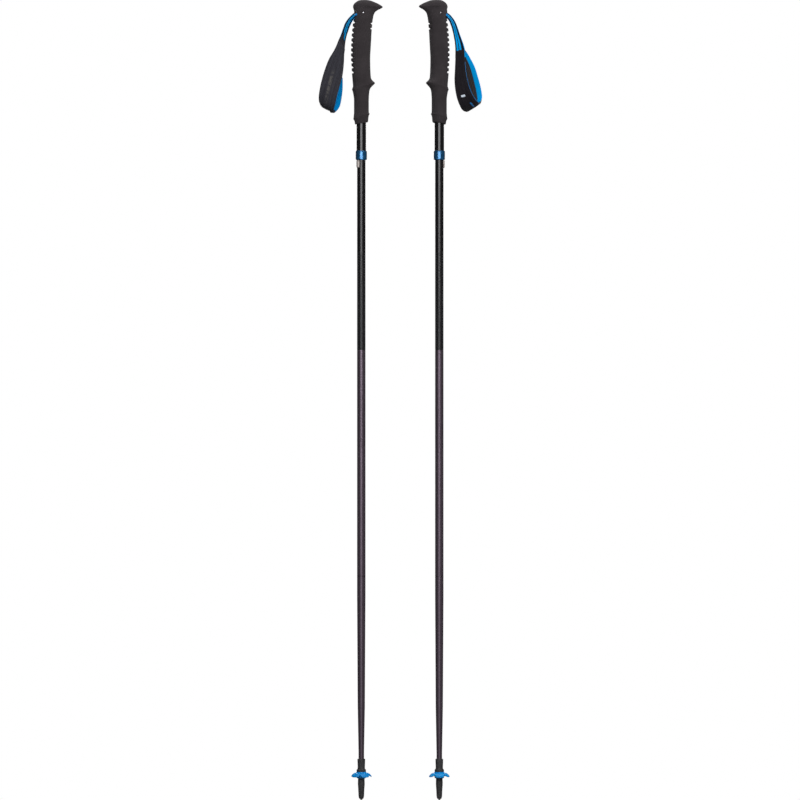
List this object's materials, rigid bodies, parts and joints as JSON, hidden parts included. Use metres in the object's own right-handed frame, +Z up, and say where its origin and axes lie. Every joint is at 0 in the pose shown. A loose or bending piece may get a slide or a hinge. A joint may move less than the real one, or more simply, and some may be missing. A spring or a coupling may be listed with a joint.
{
  "type": "trekking poles",
  "caption": "Pair of folding trekking poles with foam grips, wrist straps, telescoping handles, two fold joints on each shaft, and baskets above hard tips.",
  "frame": {"origin": "on the left pole's axis, in the middle of its grip, where the left hand holds it, 1100 mm above the tip", "axes": "+Z up along both poles, +X from the left pole to the right one, -Y towards the viewer who has the left pole on the left"},
  "size_m": [0.2453, 0.042, 1.2],
  "materials": {
    "grip_foam": "matt fine-grained grip foam",
    "black_plastic": "matt",
    "black_tube": "satin black anodised",
    "blue_anodised": "bright blue anodised",
    "white_plastic": "smooth",
    "steel": "bright",
    "blue_webbing": "woven, with dark stripes",
    "pad_fabric": "dark knitted shell",
    "pad_lining": "brushed lining",
    "button_metal": "satin",
    "cord": "braided",
    "aluminium": "machined",
    "plum_tube": "satin plum anodised",
    "ferrule_ring": "satin",
    "tip_plastic": "fine matt",
    "carbide": "ground",
    "basket_plastic": "semi-gloss blue"
  },
  "bodies": {
    "left_handle": {"left_grip": "grip_foam", "left_grip_core": "black_plastic", "left_upper_tube": "black_tube", "left_collar": "blue_anodised", "left_guide_bush": "white_plastic", "left_strap_pin": "steel", "left_strap_anchor": "blue_webbing", "left_strap_wedge": "black_plastic"},
    "left_strap": {"left_strap_webbing": "blue_webbing", "left_wrist_pad": "pad_fabric", "left_pad_lining": "pad_lining"},
    "left_button": {"left_release_button": "button_metal"},
    "left_upper_shaft": {"left_button_spring": "steel", "left_upper_shaft": "black_tube", "left_shaft_plug": "white_plastic", "left_upper_cord": "cord", "left_cord_anchor": "aluminium", "left_ferrule_a": "black_tube"},
    "left_middle_shaft": {"left_middle_shaft": "plum_tube", "left_nose_a": "aluminium", "left_middle_cord": "cord", "left_ferrule_b": "ferrule_ring"},
    "left_lower_shaft": {"left_lower_shaft": "plum_tube", "left_nose_b": "aluminium", "left_lower_cord": "cord", "left_cord_stop": "aluminium", "left_tip_sleeve": "tip_plastic", "left_carbide_tip": "carbide"},
    "left_basket": {"left_basket": "basket_plastic"},
    "right_handle": {"right_grip": "grip_foam", "right_grip_core": "black_plastic", "right_upper_tube": "black_tube", "right_collar": "blue_anodised", "right_guide_bush": "white_plastic", "right_strap_pin": "steel", "right_strap_anchor": "blue_webbing", "right_strap_wedge": "black_plastic"},
    "right_strap": {"right_strap_webbing": "blue_webbing", "right_wrist_pad": "pad_fabric", "right_pad_lining": "pad_lining"},
    "right_button": {"right_release_button": "button_metal"},
    "right_upper_shaft": {"right_button_spring": "steel", "right_upper_shaft": "black_tube", "right_shaft_plug": "white_plastic", "right_upper_cord": "cord", "right_cord_anchor": "aluminium", "right_ferrule_a": "black_tube"},
    "right_middle_shaft": {"right_middle_shaft": "plum_tube", "right_nose_a": "aluminium", "right_middle_cord": "cord", "right_ferrule_b": "ferrule_ring"},
    "right_lower_shaft": {"right_lower_shaft": "plum_tube", "right_nose_b": "aluminium", "right_lower_cord": "cord", "right_cord_stop": "aluminium", "right_tip_sleeve": "tip_plastic", "right_carbide_tip": "carbide"},
    "right_basket": {"right_basket": "basket_plastic"}
  },
  "joints": [
    {"name": "right_pole_lift_off", "type": "slide", "parent": "left_handle", "child": "right_handle", "axis": [0, 0, 1], "range_m": [0, 0.3]},
    {"name": "left_strap_swing", "type": "hinge", "parent": "left_handle", "child": "left_strap", "pos_m": [-0.0126, 0, 0.0805], "axis": [0, 1, 0], "range_deg": [0, 75]},
    {"name": "left_telescope", "type": "slide", "parent": "left_handle", "child": "left_upper_shaft", "axis": [0, 0, 1], "range_m": [0, 0.15], "deforming": ["left_release_button"]},
    {"name": "left_button_press", "type": "slide", "parent": "left_upper_shaft", "child": "left_button", "axis": [-0.7431, -0.6691, 0], "range_m": [-0.0021, 0], "stiffness_N_per_m": 300, "springref_m": 0.004, "deforming": ["left_button_spring"]},
    {"name": "left_fold_a", "type": "hinge", "parent": "left_upper_shaft", "child": "left_middle_shaft", "pos_m": [-0.00163, 0.01088, -0.425], "axis": [0.989, 0.1478, 0], "range_deg": [0, 179], "stiffness_Nm_per_rad": 0.05, "springref_deg": -114.59},
    {"name": "left_fold_b", "type": "hinge", "parent": "left_middle_shaft", "child": "left_lower_shaft", "pos_m": [0.00163, -0.01088, -0.7645], "axis": [-0.989, -0.1478, 0], "range_deg": [0, 178.5], "stiffness_Nm_per_rad": 0.05, "springref_deg": -114.59},
    {"name": "left_basket_turn", "type": "hinge", "parent": "left_lower_shaft", "child": "left_basket", "pos_m": [0, 0, -1.063], "axis": [0, 0, 1], "range_deg": [-180, 180]},
    {"name": "right_strap_swing", "type": "hinge", "parent": "right_handle", "child": "right_strap", "pos_m": [0.1296, 0, 0.0805], "axis": [0, -1, 0], "range_deg": [0, 75]},
    {"name": "right_telescope", "type": "slide", "parent": "right_handle", "child": "right_upper_shaft", "axis": [0, 0, 1], "range_m": [0, 0.15], "deforming": ["right_release_button"]},
    {"name": "right_button_press", "type": "slide", "parent": "right_upper_shaft", "child": "right_button", "axis": [0.9397, 0.342, 0], "range_m": [-0.0021, 0], "stiffness_N_per_m": 300, "springref_m": 0.004, "deforming": ["right_button_spring"]},
    {"name": "right_fold_a", "type": "hinge", "parent": "right_upper_shaft", "child": "right_middle_shaft", "pos_m": [0.12076, -0.01034, -0.425], "axis": [-0.9397, -0.342, 0], "range_deg": [0, 179], "stiffness_Nm_per_rad": 0.05, "springref_deg": -114.59},
    {"name": "right_fold_b", "type": "hinge", "parent": "right_middle_shaft", "child": "right_lower_shaft", "pos_m": [0.11324, 0.01034, -0.7645], "axis": [0.9397, 0.342, 0], "range_deg": [0, 178.5], "stiffness_Nm_per_rad": 0.05, "springref_deg": -114.59},
    {"name": "right_basket_turn", "type": "hinge", "parent": "right_lower_shaft", "child": "right_basket", "pos_m": [0.117, 0, -1.063], "axis": [0, 0, 1], "range_deg": [-180, 180]}
  ]
}
